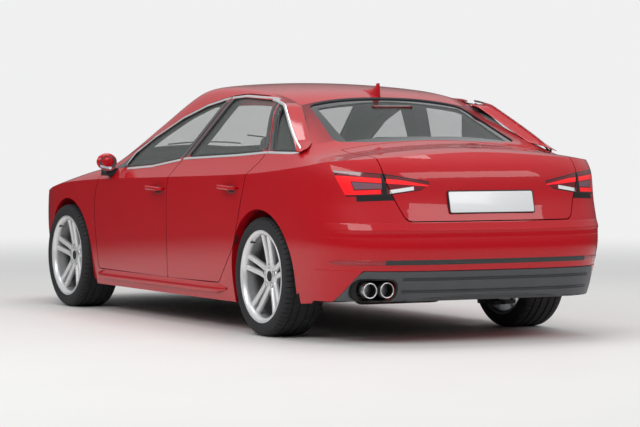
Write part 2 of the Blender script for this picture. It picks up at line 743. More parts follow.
# float glass silvered on its back; a faint blue tint from the coating
silvered = grained(
    "silveredMirrorGlass", {"Metallic": 1.0}, ("#AEB4BA", "#BEC3C8"), (0.03, 2), rough=(0.02, 0.06),
)
coreFins = finnedCore()
# soot burnt on inside the tail pipes: dead black and very rough
soot = grained("sootedSteel", {"Roughness": 0.95}, ("#030303", "#0C0B0A"), (0.003, 3))
# body paint in shade inside the hollow behind a door handle
cupShade = grained("paintedHandleCup", {
    "Roughness": 0.35, "Coat Weight": 0.4, "Coat Roughness": 0.1,
}, ("#3E060C", "#5A0A12"), (0.02, 2))


def materialFor(name):
    pairs = (
        ("door_glass", sideGlazing), ("quarter_glass", sideGlazing), ("windscreen", screenGlazing),
        ("rear_window", rearGlazing), ("door_mirror", mirrorPaint), ("_door_", doorPaint),
        ("side_frame", doorPaint), ("roof_panel", roofPaint), ("front_bumper", nosePaint),
        ("rim_", alloy), ("tyre_", tyreSurface), ("brake_disc", discIron), ("engine", engineIron),
        ("knuckle", darkSteel), ("suspension", darkSteel), ("tail_lamps", tailLens),
        ("headlamps", headLens), ("grille", blackPlastic), ("undertray", blackPlastic),
        ("wheel_liners", blackPlastic), ("radiator", coreFins), ("rear_strip", rearMesh),
        ("rear_diffuser", greyPlastic), ("floor_pan", underside), ("front_seats", fabric),
        ("rear_bench", fabric), ("dashboard", dashPlastic),
        ("console", dashPlastic), ("steering", dashPlastic), ("exhaust", pipeSteel),
    )
    for part, material in pairs:
        if part in name:
            return material
    return paint


for name, node in nodes.items():
    node.data.materials.clear()
    node.data.materials.append(materialFor(name))
print("materials ready:", len(bpy.data.materials))


def sideNodes(side):
    return ["front_door_" + side, "rear_door_" + side, "side_frame_" + side]


# The pressed side of the body above the shoulder, in metres.
sideForm = {
    "shoulderY": 0.9150,
    "rearZ": 0.9170,
    "slope": 0.0172,
    "radius": 109.9,
    "startX": -2.0142,
    "beltInset": 0.072,
    "beltRise": 1.3,
    "glassRise": 1.75,
}


def skinY(x, z):
    # shoulder height: rearZ - slope*back - back^2 / (2 radius); above it the side leans in by
    # rise/beltRise up to the belt inset and by rise/glassRise from there on
    back = x - sideForm["startX"]
    rise = z - (sideForm["rearZ"] - sideForm["slope"] * back - back * back / (2 * sideForm["radius"]))
    belt = sideForm["beltInset"]
    low = np.clip(rise / sideForm["beltRise"], 0, belt)
    high = np.clip(rise - belt * sideForm["beltRise"], 0, None) / sideForm["glassRise"]
    return sideForm["shoulderY"] - low - high


def skinUnder(side, places):
    # how far out the painted side lies at places (x, z): what lies within 45 mm of the formula is
    # taken, and a gap or a hole gets the difference of its nearest neighbour
    sign = sides[side]
    base = skinY(places[:, 0], places[:, 1])
    difference = surfaceAt(sideNodes(side), places, 1, sign) * sign - base
    good = np.abs(difference) < 0.045
    if not good.any():
        return base
    far = ((places[:, None, :] - places[None, good, :]) ** 2).sum(-1)
    return base + np.where(good, difference, difference[good][far.argmin(1)])


# Bright strips around the side windows, black pillar covers and the rubber seals in the openings.
windowTrim = {
    "stripWidth": 0.013,
    "stripCentre": 0.0080,
    "cornerRadius": 0.020,
    "coverProud": 0.0014,
    "frontDoorPath": [
        (0.4032, 0.6825), (0.420, 0.680), (0.545, 0.652), (0.694, 0.6365), (0.678, 0.697), (0.616, 0.765),
        (0.513, 0.846), (0.421, 0.896), (0.342, 0.921), (0.3240, 0.9245),
    ],
    "rearDoorLowPath": [(0.0105, 0.7172), (0.031, 0.716), (0.15, 0.704), (0.381, 0.688), (0.3985, 0.6858)],
    "rearDoorHighPath": [(0.3195, 0.9262), (0.304, 0.927), (0.256, 0.932), (0.125, 0.918), (0.1120, 0.9135)],
    "quarterPath": [
        (0.0080, 0.7172), (-0.008, 0.717), (-0.108, 0.716), (0.048, 0.893), (0.092, 0.910), (0.1090, 0.9135),
    ],
    "frontWindow": [
        (0.742, 0.632), (0.616, 0.765), (0.513, 0.846), (0.421, 0.896), (0.342, 0.921), (0.420, 0.680),
        (0.545, 0.652),
    ],
    "rearWindow": [
        (0.381, 0.688), (0.304, 0.927), (0.256, 0.932), (0.125, 0.918), (0.031, 0.716), (0.15, 0.704),
    ],
    "quarterWindow": [(-0.008, 0.717), (-0.108, 0.716), (0.048, 0.893), (0.092, 0.910)],
    "covers": [
        # body part, forward edge (top, foot), rearward edge (top, foot)
        ("front_door", ((0.6830, 0.6940), (0.7400, 0.6330)), ((0.6720, 0.7040), (0.6950, 0.6380))),
        ("front_door", ((0.3425, 0.9190), (0.4200, 0.6830)), ((0.3245, 0.9225), (0.4030, 0.6855))),
        ("rear_door", ((0.3190, 0.9245), (0.3980, 0.6885)), ((0.3045, 0.9250), (0.3815, 0.6910))),
        ("rear_door", ((0.1245, 0.9155), (0.0315, 0.7190)), ((0.1120, 0.9115), (0.0120, 0.7200))),
        ("body", ((0.1085, 0.9110), (0.0080, 0.7200)), ((0.0925, 0.9075), (-0.0065, 0.7200))),
    ],
}


def trimBody(part, side):
    return "car_body" if part == "body" else part + "_" + side + "_assembly"


def sideBand(side, spots, middle, lift, mode):
    # a band over the places spots: the skin under its middle line, calmed by a running mean over nine
    # places, plus the fall of the formula across the band, plus the lift of each column
    skin = np.convolve(np.pad(skinUnder(side, middle), 4, mode=mode), np.ones(9) / 9, mode="valid")
    fall = skinY(spots[..., 0], spots[..., 1]) - skinY(middle[:, 0], middle[:, 1])[:, None]
    reach = skin[:, None] + fall + lift[None, :]
    return np.stack([spots[..., 0], sides[side] * reach, spots[..., 1]], -1)


def sweptStrip(side, shares, way):
    # a low rounded bar along a path on the side, 3.5 mm proud, its edges sunk 3 mm into the skin
    path = resampled(rounded(sidePlaces(shares), windowTrim["cornerRadius"], closed=False), 150)
    across = way * sideways(path, closed=False)
    w = np.array([-1.0, -1.0, -0.93, -0.6, 0.0, 0.6, 0.93, 1.0, 1.0])
    lift = np.array([-0.003, 0.0010, 0.0027, 0.0034, 0.0035, 0.0034, 0.0027, 0.0010, -0.003])
    offset = windowTrim["stripCentre"] + w * windowTrim["stripWidth"] / 2
    spots = path[:, None, :] + across[:, None, :] * offset[None, :, None]
    middle = path + across * windowTrim["stripCentre"]
    return gridShape(sideBand(side, spots, middle, lift, "edge"), wrapColumns=True, capRows=True)


def pillarCover(side, ahead, behind):
    # a thin panel ruled between two straight edges, its own edges turned down to the skin
    t = np.linspace(0, 1, 40)[:, None, None]
    s = np.array([0, 0, 0.06, 0.3, 0.5, 0.7, 0.94, 1, 1])[None, :, None]
    front = sidePlaces(ahead)
    rear = sidePlaces(behind)
    spots = (1 - s) * ((1 - t) * front[0] + t * front[1]) + s * ((1 - t) * rear[0] + t * rear[1])
    skin = skinUnder(side, spots.reshape(-1, 2)).reshape(spots.shape[:2])
    lift = np.array([-0.002, 0.0006] + [windowTrim["coverProud"]] * 5 + [0.0006, -0.002])
    points = np.stack([spots[..., 0], sides[side] * (skin + lift[None, :]), spots[..., 1]], -1)
    return gridShape(points, wrapColumns=True, capRows=True)


def windowSeal(side, shares):
    # a rubber lip inside the edge of an opening: a half-round bead from the skin down to the glass
    path = resampled(rounded(sidePlaces(shares), 0.012), 220, closed=True)
    across = sideways(path)
    centre = path.mean(0)
    if ((path + across * 0.01 - centre) ** 2).sum() < ((path - centre) ** 2).sum():
        across = -across
    w = np.array([0.002, 0.000, -0.003, -0.007, -0.009, -0.009, 0.002])
    lift = np.array([-0.0005, 0.0003, -0.0005, -0.0035, -0.0060, -0.009, -0.009])
    spots = path[:, None, :] + across[:, None, :] * w[None, :, None]
    points = sideBand(side, spots, path + across * 0.006, lift, "wrap")
    return gridShape(points, wrapRows=True, wrapColumns=True)


for side in sides:
    for label, part, shares, way in (
        ("frontDoorStrip", "front_door", windowTrim["frontDoorPath"], -1),
        ("rearDoorLowStrip", "rear_door", windowTrim["rearDoorLowPath"], -1),
        ("rearDoorHighStrip", "rear_door", windowTrim["rearDoorHighPath"], -1),
        ("quarterStrip", "body", windowTrim["quarterPath"], 1),
    ):
        newPiece(
            label + "_" + side, sweptStrip(side, shares, way), strip, trimBody(part, side),
        )
    for index, (part, ahead, behind) in enumerate(windowTrim["covers"]):
        newPiece(
            "pillarCover%d_%s" % (index + 1, side), pillarCover(side, ahead, behind), pianoBlack,
            trimBody(part, side),
        )
    for label, part, shares in (
        ("frontDoorSeal", "front_door", windowTrim["frontWindow"]),
        ("rearDoorSeal", "rear_door", windowTrim["rearWindow"]),
        ("quarterSeal", "body", windowTrim["quarterWindow"]),
    ):
        newPiece(label + "_" + side, windowSeal(side, shares), rubber, trimBody(part, side))
print("window trim built")


# Tyres: a lathe profile with four grooves, cut across the shoulders by slanted sipes.
tyre = {
    "radius": 0.3305,
    "bead": 0.2496,
    "halfWidth": 0.1275,
    "pitches": 66,
    "grooveDepth": 0.0070,
    "sipeDepth": 0.0050,
    "slant": 0.035,
}


def tyreShape(centre, sign):
    # radius over offset comes from the profile; each sipe lowers the shoulder blocks once a pitch,
    # turned by slant*|offset| so that it runs back from the middle
    half = tyre["halfWidth"]
    top = tyre["radius"]
    wall = [
        (0.1075, tyre["bead"]), (0.1125, 0.2520), (0.1165, 0.2560), (0.1172, 0.2590), (0.1190, 0.2600),
        (0.1205, 0.2650), (0.1235, 0.2730), (0.1238, 0.2738), (0.1245, 0.2742), (0.1258, 0.2800),
        (half - 0.0002, 0.2885),
        (0.1258, 0.2990), (0.1248, 0.3040), (0.1238, 0.3046), (0.1232, 0.3054), (0.1215, 0.3110),
        (0.1180, 0.3180), (0.1130, 0.3222), (0.1060, 0.3256), (0.0990, top - 0.0010),
    ]
    grooves = []
    low = top - tyre["grooveDepth"]
    slope = 0.0008
    for middle, width in ((0.068, 0.009), (0.024, 0.010)):
        outer, inner = middle + width / 2, middle - width / 2
        grooves += [(outer + slope, top), (outer - slope, low), (inner + slope, low), (inner - slope, top)]
    leftHalf = np.array(wall + [(0.090, top)] + grooves)
    profile = np.vstack([leftHalf, leftHalf[::-1] * (-1, 1)])
    fractions = np.array([0.0, 0.02, 0.13, 0.15, 0.55])
    turn = (np.arange(tyre["pitches"])[:, None] + fractions[None, :]).ravel() / tyre["pitches"] * 2 * np.pi
    inSipe = np.tile(np.array([0, 1, 1, 0, 0]), tyre["pitches"])[:, None]
    offset = profile[:, 0][None, :]
    level = profile[:, 1][None, :]
    away = np.abs(offset)
    shoulder = (away > 0.0735) & (level > 0.3175)
    block = (away < 0.062) & (away > 0.0295) & (level > top - 0.001)
    radius = level - inSipe * (shoulder | block) * tyre["sipeDepth"]
    angle = turn[:, None] + tyre["slant"] * np.abs(offset) / half * np.sign(offset + 1e-9)
    points = np.empty(radius.shape + (3,))
    points[..., 0] = centre[0] + radius * np.cos(angle)
    points[..., 1] = centre[1] + sign * offset
    points[..., 2] = centre[2] + radius * np.sin(angle)
    return gridShape(points, wrapRows=True, wrapColumns=True)


wheelDetail = {
    "hubFace": 0.066,
    "boltCircle": 0.056,
    "boltRadius": 0.0105,
    "capRadius": 0.0290,
    "valveRadius": 0.228,
    "valveDeg": 36.0,
    "valveFoot": 0.086,
}
wheelPlaces = [
    (end + "_" + side, sign, (car[end + "Axle"], sign * car[end + "WheelY"], car["axleHeight"]))
    for end in ("front", "rear") for side, sign in sides.items()
]


def onWheel(centre, sign, turn, radius, level):
    # the place at radius and turn from the top, level metres out from the middle of the wheel
    return centre[0] + radius * math.sin(turn), centre[1] + sign * level, centre[2] + radius * math.cos(turn)


def atBolts(centre, sign, profile, count):
    # one turned form at each of the five places on the bolt circle
    places = [
        onWheel(centre, sign, turn, wheelDetail["boltCircle"], wheelDetail["hubFace"])
        for turn in np.arange(5) * 2 * np.pi / 5
    ]
    return joinedShapes([lathe(place, profile, count, 1, sign) for place in places])


def boltShape(centre, sign):
    # domed bolt heads in their pockets
    r = wheelDetail["boltRadius"]
    return atBolts(centre, sign, [
        (-0.0088, 0.0002), (-0.0088, r * 1.15), (-0.0072, r * 1.15), (-0.0060, r), (-0.0020, r),
        (-0.0010, r * 0.85), (-0.0010, r * 0.5), (-0.0035, r * 0.42), (-0.0035, 0.0002),
    ], 12)


def capShape(centre, sign):
    r = wheelDetail["capRadius"]
    return lathe((centre[0], centre[1] + sign * wheelDetail["hubFace"], centre[2]), [
        (-0.0048, 0.0002), (-0.0048, r), (-0.0014, r), (-0.0006, r * 0.96), (-0.0006, r * 0.84),
        (-0.0016, r * 0.80), (-0.0012, r * 0.5), (-0.0009, 0.0002),
    ], 48, 1, sign)


def valveShape(centre, sign):
    turn = math.radians(wheelDetail["valveDeg"])
    return lathe(onWheel(centre, sign, turn, wheelDetail["valveRadius"], wheelDetail["valveFoot"]), [
        (0, 0.0001), (0, 0.0055), (0.004, 0.0042), (0.020, 0.0042), (0.021, 0.0048), (0.029, 0.0048),
        (0.030, 0.0001),
    ], 12, 1, sign)


for wheel, sign, centre in wheelPlaces:
    body = wheel + "_wheel"
    tread = newPiece("treadedTyre_" + wheel, tyreShape(centre, sign), tyreSurface, body)
    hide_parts("tyre_" + wheel)
    newPiece("wheelBolts_" + wheel, boltShape(centre, sign), discIron, body)
    newPiece("wheelCap_" + wheel, capShape(centre, sign), blackPlastic, body)
    newPiece("tyreValve_" + wheel, valveShape(centre, sign), rubber, body)
print("wheels built")


# Number plate, left blank, on its holder in the recess of the boot lid.
plate = {"width": 0.520, "height": 0.110, "middleZ": 0.757}


def platePlane():
    # the flat plane x = a + b z that stands clear of the lid behind the plate
    z = np.linspace(plate["middleZ"] - 0.055, plate["middleZ"] + 0.055, 5)
    y = np.linspace(-0.27, 0.27, 9)
    yy, zz = np.meshgrid(y, z, indexing="ij")
    spots = np.stack([yy.ravel(), zz.ravel()], 1)
    reach = surfaceAt(["boot_lid"], spots, 0, -1)
    b, a = np.polyfit(spots[:, 1], reach, 1)
    a += (reach - (a + b * spots[:, 1])).min()
    return a, b


def plateSlab(halfWidth, halfHeight, low, high, radius):
    # a rounded rectangle carried from the lid outwards: x = a + b z - level
    a, b = platePlane()
    rim = rounded(rectangle((-halfWidth, -halfHeight), (halfWidth, halfHeight)), radius)
    rows = []
    soft = min(0.0010, (high - low) / 3)
    for level, inset in ((low, 0.0), (high - soft, 0.0), (high - soft / 3, soft * 0.4), (high, soft)):
        ring = rim * (1 - inset / np.array([halfWidth, halfHeight]))
        z = plate["middleZ"] + ring[:, 1]
        rows.append(np.stack([a + b * z - level, ring[:, 0], z], 1))
    return gridShape(np.array(rows), wrapColumns=True, capRows=True)


w, h = plate["width"] / 2, plate["height"] / 2
for name, shape, material, slot in (
    ("plateHolder", plateSlab(w + 0.006, h + 0.006, -0.012, 0.0045, 0.012), blackPlastic, "black_plastic"),
    ("numberPlate", plateSlab(w, h, 0.0046, 0.0066, 0.010), plateFilm, "grey_plastic"),
):
    newPiece(name, shape, material, "boot_lid_assembly")


# Tail pipes: a rolled bright ring around each mouth and a sooty core inside.
tailPipe = {"y": (0.600, 0.702), "z": 0.295, "mouthX": -2.245, "radius": 0.040}
r = tailPipe["radius"]
turn = np.linspace(0, 2 * np.pi, 10, endpoint=False)
section = [(0.0012 + 0.0028 * math.cos(t), r - 0.0015 + 0.0030 * math.sin(t)) for t in turn]
core = [(0.006, r - 0.0034), (0.050, r - 0.0038), (0.085, r - 0.0042), (0.086, 0.0002)]
mouths = [(tailPipe["mouthX"], y, tailPipe["z"]) for y in tailPipe["y"]]
ringShape = joinedShapes([lathe(mouth, section + section[:1], 48, 0) for mouth in mouths])
coreShape = joinedShapes([lathe(mouth, core, 40, 0) for mouth in mouths])
newPiece("tailPipeRings", ringShape, strip, "car_body")
newPiece("tailPipeSoot", coreShape, soot, "car_body", outward=False)


# Mirror glasses, sunk in the back of each mirror shell.
mirror = {"low": (0.890, 0.888), "high": (0.998, 0.980), "radius": 0.030, "thick": 0.0030}


def mirrorShape(sign):
    rim = rounded(rectangle(mirror["low"], mirror["high"]), mirror["radius"] * 1.6)
    back = surfaceAt(["door_mirror_left"], rim, 0, -1)
    x = back[(back > 0.6) & (back < 0.8)].min() + 0.0005
    rows = []
    for shift in (-mirror["thick"], 0.0):
        rows.append(np.stack([np.full(len(rim), x + shift), sign * rim[:, 0], rim[:, 1]], 1))
    return gridShape(np.array(rows), wrapColumns=True, capRows=True)


for side, sign in sides.items():
    body = "front_door_" + side + "_assembly"
    newPiece("mirrorGlass_" + side, mirrorShape(sign), silvered, body, smooth=False)


# Third brake lamp inside the top of the rear window: moulded red lens with upright ribs.
brakeLamp, brakeTree, brakeShader = newMaterial("mouldedBrakeLampLens", {
    "Roughness": 0.2, "Coat Weight": 1.0,
})
brakeRibs = addNode(brakeTree, "ShaderNodeTexWave", {"bands_direction": "Y"}, {
    "Vector": spotOn(brakeTree), "Scale": 30.0,
}).outputs["Fac"]
coloured(brakeTree, brakeShader, "#3A050A", "#7A0A14", brakeRibs)
lampBox = roundedBox((-1.235, -0.13, 1.262), (-1.205, 0.13, 1.280))
newPiece("thirdBrakeLamp", lampBox, brakeLamp, "car_body")
print("plate, pipes, mirrors and brake lamp built")


# Wipers resting on the foot of the windscreen.
wiper = {"armRadius": 0.006, "bladeRadius": 0.0045, "lift": 0.011}


def screenPath(points, count, lift):
    # a straight line over the windscreen, lifted off it; off the glass its slope is carried on
    path = resampled(np.array(points, float), count)
    height = surfaceAt(["windscreen"], path, 2, 1)
    found = np.abs(height) < 5
    fit = np.polyfit(path[found, 0], height[found], 1) if found.sum() > 3 else (-0.51, 1.4)
    return np.column_stack([path, np.where(found, height, np.polyval(fit, path[:, 0])) + lift])


wiperShapes = []
for tip, root in (((0.775, -0.06), (0.905, 0.40)), ((0.745, -0.60), (0.905, -0.18))):
    blade = screenPath([(tip[0] + 0.075, tip[1] + 0.02), (tip[0], tip[1] + 0.56)], 24, 0.006)
    arm = screenPath([root, (tip[0] + 0.03, tip[1] + 0.30)], 16, wiper["lift"])
    wiperShapes.append(tube(blade, wiper["bladeRadius"]))
    wiperShapes.append(tube(arm, wiper["armRadius"]))
newPiece("wipers", joinedShapes(wiperShapes), blackPlastic, "car_body")


# Cabin: hood over the instruments, screen and arm rests.
hood = roundedBox((0.525, 0.24, 0.900), (0.640, 0.50, 0.950), 0.012, 4)
newPiece("instrumentHood", hood, dashPlastic, "car_body")
screen = roundedBox((0.575, -0.10, 0.930), (0.587, 0.10, 1.010), 0.003, 3)
newPiece("centreScreen", screen, pianoBlack, "car_body")
for end, x0, x1 in (("front", 0.10, 0.62), ("rear", -0.62, -0.16)):
    for side, sign in sides.items():
        low = (x0, min(sign * 0.752, sign * 0.826), 0.640)
        high = (x1, max(sign * 0.752, sign * 0.826), 0.690)
        body = end + "_door_" + side + "_assembly"
        newPiece(
            "armRest_" + end + "_" + side, roundedBox(low, high, 0.014, 5), dashPlastic, body,
        )
print("wipers and cabin fittings built")


# Wheels: a turned barrel and lip, a dished hub and five twin spokes.
rim = {
    "bead": 0.247,
    "half": 0.1075,
    "flange": 0.011,
    "hubRadius": 0.078,
    "spokes": 5,
    "rootRadius": 0.045,
    "tipRadius": 0.2425,
    "rootSpread": 0.0195,
    "tipSpread": 0.034,
    "rootFace": 0.066,
    "tipFace": 0.0995,
    "depth": 0.029,
    "backHalf": 0.0150,
    "ridgeHalf": 0.0085,
}


def spokeShape(centre, sign, turn, side):
    # six-sided sections with softened corners, carried out along the radius: the spread grows in a
    # straight line from root to tip, the face rises with the power 1.35 of the way out
    t = np.append(np.linspace(0, 1, 26), 1.02)
    radius = rim["rootRadius"] + (rim["tipRadius"] - rim["rootRadius"]) * t
    spread = side * (rim["rootSpread"] + (rim["tipSpread"] - rim["rootSpread"]) * t)
    face = rim["rootFace"] + (rim["tipFace"] - rim["rootFace"]) * np.clip(t, 0, 1) ** 1.35
    flare = 1 + 0.28 * np.exp(-((t / 0.16) ** 2)) + 0.22 * np.exp(-(((1 - t) / 0.10) ** 2))
    corners = np.array([
        (-rim["backHalf"], -rim["depth"]), (rim["backHalf"], -rim["depth"]),
        (rim["backHalf"], -rim["depth"] * 0.36), (rim["ridgeHalf"], 0.0), (-rim["ridgeHalf"], 0.0),
        (-rim["backHalf"], -rim["depth"] * 0.36),
    ])
    section = rounded(corners, 0.0045, steps=4)
    across = spread[:, None] + section[None, :, 0] * flare[:, None]
    height = face[:, None] + section[None, :, 1]
    points = np.empty(across.shape + (3,))
    c, s = math.cos(turn), math.sin(turn)
    points[..., 0] = centre[0] + across * c + radius[:, None] * s
    points[..., 1] = centre[1] + sign * height
    points[..., 2] = centre[2] - across * s + radius[:, None] * c
    return gridShape(points, wrapColumns=True, capRows=True)


def rimShape(centre, sign):
    bead, half, flange = rim["bead"], rim["half"], rim["flange"]
    face = rim["rootFace"]
    barrel = [
        (half + flange, bead + flange - 0.002), (half + flange, bead + 0.002),
        (half + flange - 0.002, bead - 0.004), (half + 0.001, bead - 0.011), (half - 0.009, bead - 0.018),
        (half - 0.022, bead - 0.0185), (half - 0.034, bead - 0.014), (0.030, bead - 0.012),
        (-0.030, bead - 0.016), (-half, bead - 0.009), (-half - flange, bead + 0.004),
        (-half - flange, bead + flange), (-half - 0.002, bead + flange), (-half + 0.004, bead),
        (half - 0.004, bead), (half + 0.002, bead + flange), (half + flange - 0.002, bead + flange),
    ]
    hub = [
        (0.036, 0.0002), (0.036, rim["hubRadius"]), (face - 0.012, rim["hubRadius"]),
        (face - 0.004, rim["hubRadius"] - 0.004), (face, rim["hubRadius"] - 0.012), (face, 0.034),
        (face - 0.001, 0.0325), (face - 0.0048, 0.0305), (face - 0.0048, 0.0002),
    ]
    shapes = [lathe(centre, barrel + barrel[:1], 96, 1, sign), lathe(centre, hub, 60, 1, sign)]
    for index in range(rim["spokes"]):
        for side in (-1, 1):
            shapes.append(spokeShape(centre, sign, index * 2 * math.pi / rim["spokes"], side))
    return joinedShapes(shapes)


def boltWells(centre, sign):
    # dark tapered pockets around the bolts, their rims flush with the hub
    return atBolts(centre, sign, [
        (-0.002, 0.0155), (0.0008, 0.0150), (0.0008, 0.0133), (-0.0004, 0.0128), (-0.0004, 0.0002),
    ], 24)


for wheel, sign, centre in wheelPlaces:
    body = wheel + "_wheel"
    cast = newPiece("castWheel_" + wheel, rimShape(centre, sign), alloy, body)
    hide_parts("rim_" + wheel)
    newPiece("boltWells_" + wheel, boltWells(centre, sign), soot, body, smooth=False)
print("cast wheels built")


# Tail: what lies on the rear bumper is worked out from the bumper's own surface on the right side,
# where no room for the silencer is cut out of it, and mirrored to the left.
def tailAt(y, z):
    spots = np.stack([-np.abs(np.ravel(y)), np.ravel(z)], 1)
    return surfaceAt(["rear_bumper", "rear_diffuser"], spots, 0, -1).reshape(np.shape(y))


def smoothTail(y, z):
    # a smooth surface in |y| and z is fitted first; what lies near it is taken, more freely out at
    # the corners, and a gap between two panels gets the difference of its nearest neighbour
    reach = tailAt(y, z).ravel()
    a, b = np.abs(y).ravel(), z.ravel()
    terms = np.stack([a ** i * b ** j for i in (0, 2, 4, 6, 10) for j in (0, 1, 2)], 1)
    keep = (np.abs(reach) < 10) & (a < 0.82)
    for limit in (0.2, 0.03, 0.012):
        fit = np.linalg.lstsq(terms[keep], reach[keep], rcond=None)[0]
        smooth = terms @ fit
        keep = (np.abs(reach) < 10) & (np.abs(reach - smooth) < limit)
    good = np.abs(reach - smooth) < np.interp(a, [0, 0.78, 0.82, 0.88], [0.012, 0.012, 0.06, 0.40])
    difference = np.where(good, reach - smooth, 0)
    lost = np.flatnonzero(~good)
    known = np.flatnonzero(good)
    known = known[:: max(1, len(known) // 4000)]
    for chunk in np.array_split(lost, max(1, len(lost) // 400)):
        if len(chunk):
            far = (a[chunk, None] - a[None, known]) ** 2 + (b[chunk, None] - b[None, known]) ** 2
            difference[chunk] = difference[known[far.argmin(1)]]
    return (smooth + difference).reshape(np.shape(y))


diffuser = {
    "top": 0.3955,
    "foot": 0.232,
    "halfTop": 0.716,
    "halfFoot": 0.800,
    "proud": 0.0035,
    "window": ((0.548, 0.236), (0.756, 0.352)),
    "windowRadius": 0.040,
    "grooves": (0.351, 0.285),
    "grooveHalf": 0.008,
    "grooveDepth": 0.010,
    "wall": 0.004,
}


def diffuserHalf(share):
    # half the width of the grey panel, over the share of the way from its top to its foot
    return diffuser["halfTop"] + (diffuser["halfFoot"] - diffuser["halfTop"]) * share ** 0.8


def diffuserShape():
    # columns spread from the top to the wider foot; a groove sinks the surface by
    # depth*(1 - (dz/half)^4); quads whose middle lies inside the rounded pipe window are left out
    v = np.linspace(0, 1, 56)
    u = np.linspace(-1, 1, 260)
    z = (diffuser["top"] + (diffuser["foot"] - diffuser["top"]) * v)[:, None] + 0 * u[None, :]
    y = diffuserHalf(v)[:, None] * u[None, :]
    corner = np.clip((np.abs(u) - 0.97) / 0.03, 0, 1)[None, :] * np.clip(1 - v / 0.10, 0, 1)[:, None]
    y = y * (1 - 0.012 * corner)
    x = smoothTail(y, z) - diffuser["proud"]
    for level in diffuser["grooves"]:
        dip = np.clip(1 - ((z - level) / diffuser["grooveHalf"]) ** 4, 0, 1)
        ends = np.clip((0.66 - y) / 0.02, 0, 1) * np.clip((y + 0.68) / 0.02, 0, 1)
        away = np.clip((np.abs(y - 0.652) - 0.125) / 0.01, 0, 1)
        x = x + diffuser["grooveDepth"] * dip * ends * away
    rim = 0.010 * (np.clip(1 - v / 0.03, 0, 1)[:, None] + np.clip((np.abs(u) - 0.992) / 0.008, 0, 1)[None, :])
    x = x + np.clip(rim, 0, 0.010)
    points = np.stack([x, y, z], -1)
    vertices, faces = gridShape(points)
    quads = np.array(faces)
    middle = vertices[quads].mean(1)
    (y0, z0), (y1, z1) = diffuser["window"]
    r = diffuser["windowRadius"]
    dy = np.abs(middle[:, 1] - (y0 + y1) / 2) - ((y1 - y0) / 2 - r)
    dz = np.abs(middle[:, 2] - (z0 + z1) / 2) - ((z1 - z0) / 2 - r)
    distance = np.hypot(np.clip(dy, 0, None), np.clip(dz, 0, None)) + np.minimum(np.maximum(dy, dz), 0)
    quads = quads[distance > r]
    used, index = np.unique(quads, return_inverse=True)
    return vertices[used], index.reshape(-1, 4)[:, ::-1].tolist()


grey = sheetPiece("diffuserPanel", diffuserShape(), (-1, 0, 0), greyPlastic, diffuser["wall"])
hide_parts("rear_diffuser")

# A lip follows the pipe window, and a dark tray closes the space behind the pipes.
windowRim = rounded(rectangle(*diffuser["window"]), 1.5 * diffuser["windowRadius"], steps=8)
windowRim = resampled(windowRim, 90, closed=True)
reach = smoothTail(windowRim[:, 0], windowRim[:, 1]) - diffuser["proud"]
turn = np.linspace(0, 2 * np.pi, 8, endpoint=False)
middle = np.mean(diffuser["window"], axis=0)
away = windowRim - middle
away /= np.linalg.norm(away, axis=1, keepdims=True)
lipRadius = 0.006
lipPoints = np.empty((90, 8, 3))
lipPoints[..., 0] = reach[:, None] + 0.003 + lipRadius * np.sin(turn)[None, :]
for axis in (0, 1):
    ring = lipRadius * away[:, None, axis] * np.cos(turn)[None, :]
    lipPoints[..., axis + 1] = windowRim[:, None, axis] + ring
lipShape = gridShape(lipPoints, wrapRows=True, wrapColumns=True)
newPiece("pipeWindowLip", lipShape, blackPlastic, "car_body")
depthRows = []
for depth, grow in ((0.006, 1.00), (0.050, 0.99), (0.105, 0.94), (0.115, 0.86)):
    spots = middle + (windowRim - middle) * grow
    depthRows.append(np.stack([reach.mean() + depth + 0 * reach, spots[:, 0], spots[:, 1]], 1))
trayShape = gridShape(np.array(depthRows), wrapColumns=True)
trayShape[1].append(list(range(3 * 90, 4 * 90)))
newPiece("pipeTray", trayShape, soot, "car_body")


# Bumper corners that close the red skin down beside the grey panel.
bumper = {"top": 0.402, "foot": 0.226, "proud": 0.0012}


def bumperCorner(side):
    # a patch over |y| and z that starts on the edge of the grey panel and ends on the flank
    v = np.linspace(0, 1, 30)
    u = np.linspace(0, 1, 40)
    z = (bumper["top"] + (bumper["foot"] - bumper["top"]) * v)[:, None] + 0 * u[None, :]
    share = (diffuser["top"] - z[:, :1]) / (diffuser["top"] - diffuser["foot"])
    inner = diffuserHalf(np.clip(share, 0, 1)) - 0.004
    outer = np.interp(z[:, :1], [0.236, 0.26, 0.30, 0.40], [0.846, 0.850, 0.855, 0.862])
    y = inner + (outer - inner) * u[None, :]
    x = smoothTail(y, z) - bumper["proud"]
    x[:, 0] += 0.006
    x[:, -1] += 0.003
    x[0] += 0.003
    return gridShape(np.stack([x, side * y, z], -1))


for side, sign in sides.items():
    sheetPiece("bumperCorner_" + side, bumperCorner(sign), (-1, 0, 0), paint, 0.003)


# The crease across the rear bumper and the slot under it with mesh and reflectors.
ledge = {"top": 0.652, "crest": 0.612, "rise": 0.0115, "end": 0.860}
slot = {"high": 0.455, "low": 0.428, "end": 0.838, "proud": 0.0028}


